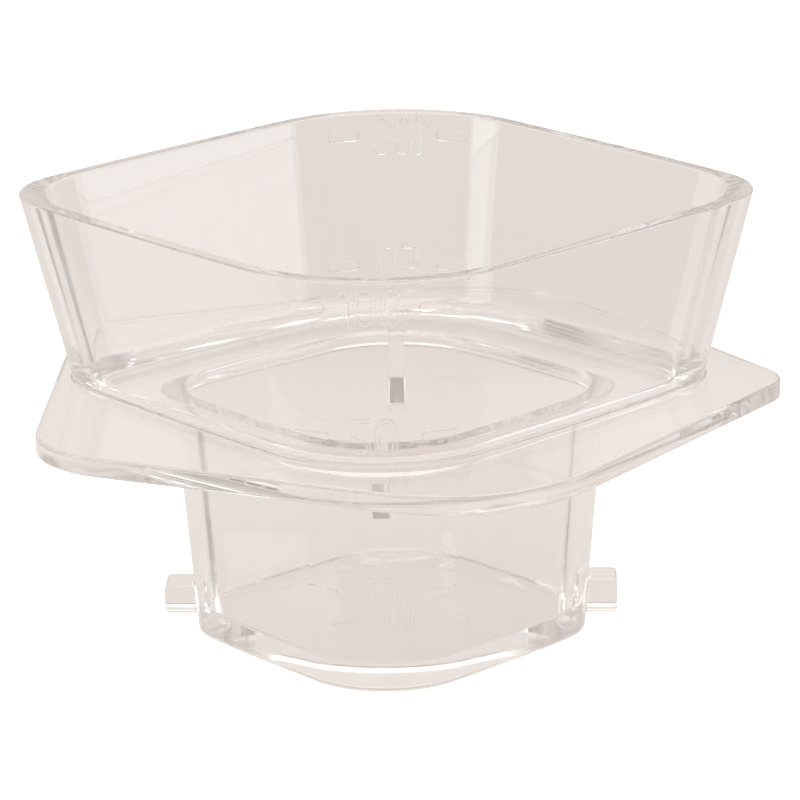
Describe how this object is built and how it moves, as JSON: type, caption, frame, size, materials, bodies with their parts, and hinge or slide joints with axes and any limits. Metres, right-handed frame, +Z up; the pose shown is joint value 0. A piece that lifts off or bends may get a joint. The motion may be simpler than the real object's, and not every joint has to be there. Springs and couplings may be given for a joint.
{
  "type": "funnel-mouth measuring cup",
  "caption": "Clear square cup with a flared funnel mouth, a wide angular flange, and a tapered neck closed at the bottom with bayonet lugs, locating ribs and raised volume marks.",
  "frame": {"origin": "centre of the flat underside, on the axis of the mouth and the neck", "axes": "+Z up out of the mouth; X through the two corners of the neck that carry the bayonet lugs, with the flange's point at +X; Y through the corners with the volume marks"},
  "size_m": [0.0863, 0.0898, 0.0524],
  "materials": {
    "clear_plastic": "clear, polished, with fine handling scratches"
  },
  "bodies": {
    "root": {"mouth_wall": "clear_plastic", "shoulder_flange": "clear_plastic", "neck_wall": "clear_plastic", "cup_floor": "clear_plastic", "bayonet_lug_left": "clear_plastic", "bayonet_lug_right": "clear_plastic", "locating_rib_front": "clear_plastic", "locating_rib_back": "clear_plastic"}
  },
  "joints": []
}
